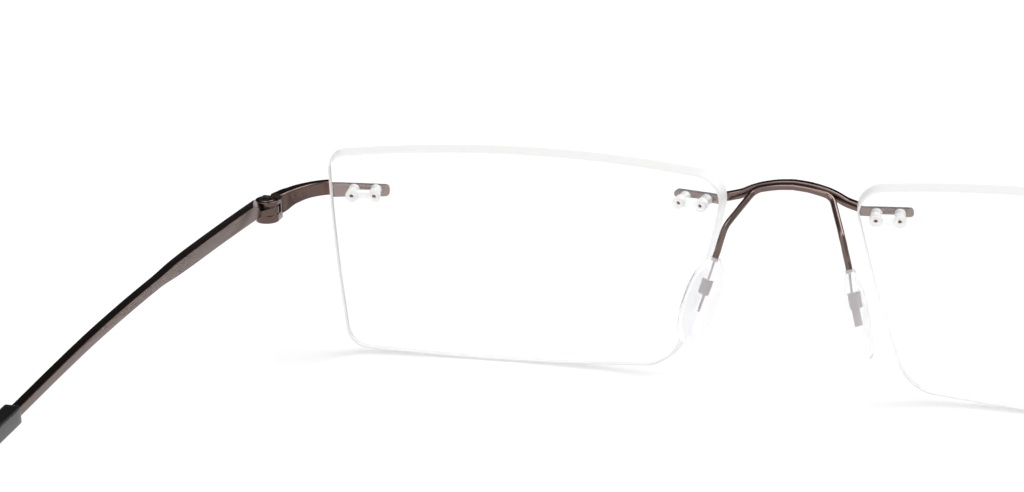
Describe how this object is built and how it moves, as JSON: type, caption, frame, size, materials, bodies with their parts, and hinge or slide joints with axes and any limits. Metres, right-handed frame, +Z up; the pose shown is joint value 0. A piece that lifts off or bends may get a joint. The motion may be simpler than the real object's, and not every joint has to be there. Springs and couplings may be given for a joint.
{
  "type": "rimless eyeglasses",
  "caption": "Rimless rectangular eyeglasses with clear plug mounts, an arched metal bridge, clear nose pads, slim folding temples and black tips.",
  "frame": {"origin": "on the standing surface, under the middle of the open eyeglasses' box", "axes": "+X to the wearer's left, +Y back along the open temples, +Z up; the lens fronts face -Y"},
  "size_m": [0.1428, 0.1374, 0.0304],
  "materials": {
    "lens": "clear, polished edges",
    "bronze": "dark bronze plating, satin",
    "steel": "dark plated screws and washers",
    "clear_plastic": "clear moulded",
    "silicone": "clear, soft",
    "black_plastic": "glossy black"
  },
  "bodies": {
    "front": {"bridge": "bronze", "end_piece_left": "bronze", "end_piece_right": "bronze", "hinge_front_left": "bronze", "hinge_front_right": "bronze", "hinge_screw_left": "steel", "hinge_screw_right": "steel", "hinge_washer_lower_left": "steel", "hinge_washer_lower_right": "steel", "hinge_washer_upper_left": "steel", "hinge_washer_upper_right": "steel", "lens_left": "lens", "lens_right": "lens", "nasal_pin_1_left": "bronze", "nasal_pin_1_right": "bronze", "nasal_pin_2_left": "bronze", "nasal_pin_2_right": "bronze", "nasal_plug_left": "clear_plastic", "nasal_plug_right": "clear_plastic", "nose_pad_left": "silicone", "nose_pad_right": "silicone", "pad_arm_wire": "bronze", "pad_mount_left": "bronze", "pad_mount_right": "bronze", "temporal_pin_1_left": "bronze", "temporal_pin_1_right": "bronze", "temporal_pin_2_left": "bronze", "temporal_pin_2_right": "bronze", "temporal_plug_left": "clear_plastic", "temporal_plug_right": "clear_plastic"},
    "temple_left_body": {"hinge_rear_left": "bronze", "temple_left": "bronze", "temple_tip_left": "black_plastic"},
    "temple_right_body": {"hinge_rear_right": "bronze", "temple_right": "bronze", "temple_tip_right": "black_plastic"}
  },
  "joints": [
    {"name": "temple_left_hinge", "type": "hinge", "parent": "front", "child": "temple_left_body", "pos_m": [0.0698, -0.05715, 0.02239], "axis": [0, 0, 1], "range_deg": [0, 90]},
    {"name": "temple_right_hinge", "type": "hinge", "parent": "front", "child": "temple_right_body", "pos_m": [-0.0698, -0.05715, 0.02239], "axis": [0, 0, -1], "range_deg": [0, 86]}
  ]
}
